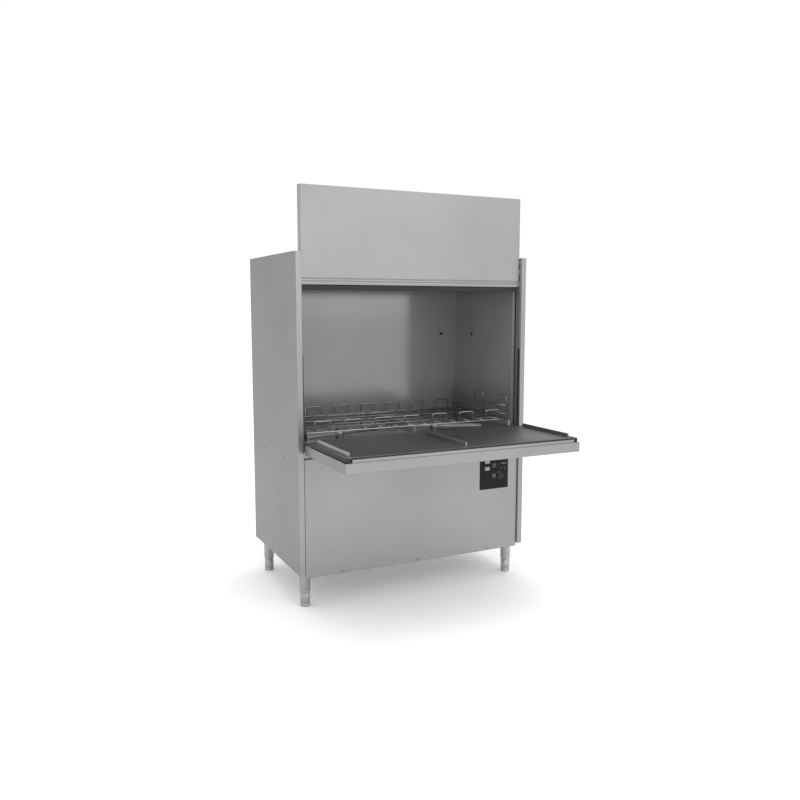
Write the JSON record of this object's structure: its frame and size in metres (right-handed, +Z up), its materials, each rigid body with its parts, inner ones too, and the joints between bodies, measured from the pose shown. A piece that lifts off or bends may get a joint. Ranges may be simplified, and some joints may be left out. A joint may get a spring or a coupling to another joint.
{
  "type": "commercial dishwasher",
  "caption": "Free-standing stainless utensil washer with a sliding upper door, a fold-down lower door that forms a loading table, a pull-out wire rack and spray arms.",
  "frame": {"origin": "on the floor, under the middle of the outline with the lower door folded down", "axes": "+X to the right seen from the front, +Y into the machine, +Z up"},
  "size_m": [1.35, 1.367, 2.139],
  "materials": {
    "satin_panel": "satin",
    "bright_trim": "satin",
    "chamber_steel": "polished",
    "frame_steel": "satin",
    "wire_steel": "polished",
    "dark_steel": "satin",
    "black_rubber": "matte",
    "black_plastic": "matte",
    "window_plastic": "gloss",
    "key_plastic": "matte",
    "button_plastic": "satin",
    "white_nylon": "matte",
    "pump_plastic": "matte",
    "motor_paint": "satin",
    "weight_iron": "matte"
  },
  "bodies": {
    "cabinet": {"base_frame": "frame_steel", "base_tray": "frame_steel", "left_side_panel": "satin_panel", "right_side_panel": "satin_panel", "rear_panel": "satin_panel", "roof_panel": "satin_panel", "front_columns": "bright_trim", "door_seals": "black_rubber", "door_guides": "frame_steel", "front_frame": "chamber_steel", "sill": "chamber_steel", "hinge_lugs": "frame_steel", "chamber_left_wall": "chamber_steel", "chamber_right_wall": "chamber_steel", "chamber_back_wall": "chamber_steel", "chamber_ceiling": "chamber_steel", "rack_rails": "chamber_steel", "wash_tank": "chamber_steel", "tank_strainers": "frame_steel", "front_panel": "satin_panel", "control_fascia": "black_plastic", "display_windows": "window_plastic", "electrical_box": "frame_steel", "pump_casing": "pump_plastic", "pump_motor": "motor_paint", "wash_pipework": "frame_steel", "riser_pipe": "frame_steel", "arm_posts": "frame_steel", "boiler": "frame_steel", "inlet_valve": "white_nylon", "dosing_pumps": "white_nylon", "drain_pump": "pump_plastic", "feet_tubes": "frame_steel", "feet_adjusters": "frame_steel", "cable_gland": "black_plastic", "pulley_axles": "frame_steel", "counterweight_cables": "wire_steel"},
    "upper_door": {"upper_door_skin": "satin_panel", "upper_door_liner": "chamber_steel", "upper_door_lip": "bright_trim", "upper_door_seal": "black_rubber", "guide_shoes": "white_nylon"},
    "lower_door": {"lower_door_skin": "satin_panel", "lower_door_pan": "dark_steel", "lower_door_gasket": "black_rubber", "hinge_blocks": "black_plastic", "hinge_pins": "frame_steel", "door_runners": "frame_steel"},
    "rack": {"rack_base": "wire_steel", "rack_loops": "wire_steel"},
    "counterweights": {"counterweights": "weight_iron"},
    "pulleys": {"pulleys": "white_nylon"},
    "impeller": {"pump_impeller": "frame_steel"},
    "lower_left_arm": {"lower_left_arm": "frame_steel"},
    "lower_right_arm": {"lower_right_arm": "frame_steel"},
    "upper_left_arm": {"upper_left_arm": "frame_steel"},
    "upper_right_arm": {"upper_right_arm": "frame_steel"},
    "program_key": {"program_key": "key_plastic"},
    "power_key": {"power_key": "key_plastic"},
    "start_button": {"start_button": "button_plastic"}
  },
  "joints": [
    {"name": "upper_door_slide", "type": "slide", "parent": "cabinet", "child": "upper_door", "axis": [0, 0, 1], "range_m": [-0.325, 0], "deforming": ["counterweight_cables"]},
    {"name": "counterweight_slide", "type": "slide", "parent": "cabinet", "child": "counterweights", "axis": [0, 0, 1], "range_m": [0, 0.325]},
    {"name": "pulley_turn", "type": "hinge", "parent": "cabinet", "child": "pulleys", "pos_m": [0, -0.0755, 1.783], "axis": [1, 0, 0], "range_deg": [0, 620.8]},
    {"name": "lower_door_hinge", "type": "hinge", "parent": "cabinet", "child": "lower_door", "pos_m": [0, -0.1815, 0.825], "axis": [1, 0, 0], "range_deg": [-90, 0]},
    {"name": "rack_slide", "type": "slide", "parent": "cabinet", "child": "rack", "axis": [0, -1, 0], "range_m": [0, 0.555]},
    {"name": "lower_left_arm_turn", "type": "hinge", "parent": "cabinet", "child": "lower_left_arm", "pos_m": [-0.304, 0.23725, 0.848], "axis": [0, 0, 1], "continuous": true},
    {"name": "lower_right_arm_turn", "type": "hinge", "parent": "cabinet", "child": "lower_right_arm", "pos_m": [0.304, 0.23725, 0.848], "axis": [0, 0, 1], "continuous": true},
    {"name": "upper_left_arm_turn", "type": "hinge", "parent": "cabinet", "child": "upper_left_arm", "pos_m": [-0.304, 0.23725, 1.6815], "axis": [0, 0, 1], "continuous": true},
    {"name": "upper_right_arm_turn", "type": "hinge", "parent": "cabinet", "child": "upper_right_arm", "pos_m": [0.304, 0.23725, 1.6815], "axis": [0, 0, 1], "continuous": true},
    {"name": "impeller_turn", "type": "hinge", "parent": "cabinet", "child": "impeller", "pos_m": [0, 0.23725, 0.33], "axis": [1, 0, 0], "continuous": true},
    {"name": "program_key_press", "type": "slide", "parent": "cabinet", "child": "program_key", "axis": [0, 1, 0], "range_m": [0, 0.001], "stiffness_N_per_m": 600},
    {"name": "start_button_press", "type": "slide", "parent": "cabinet", "child": "start_button", "axis": [0, 1, 0], "range_m": [0, 0.001], "stiffness_N_per_m": 600},
    {"name": "power_key_press", "type": "slide", "parent": "cabinet", "child": "power_key", "axis": [0, 1, 0], "range_m": [0, 0.001], "stiffness_N_per_m": 600}
  ],
  "couplings": [
    {"joint": "counterweight_slide", "follows": "upper_door_slide", "ratio": -1},
    {"joint": "pulley_turn", "follows": "upper_door_slide", "rad_per_m": -33.333}
  ]
}
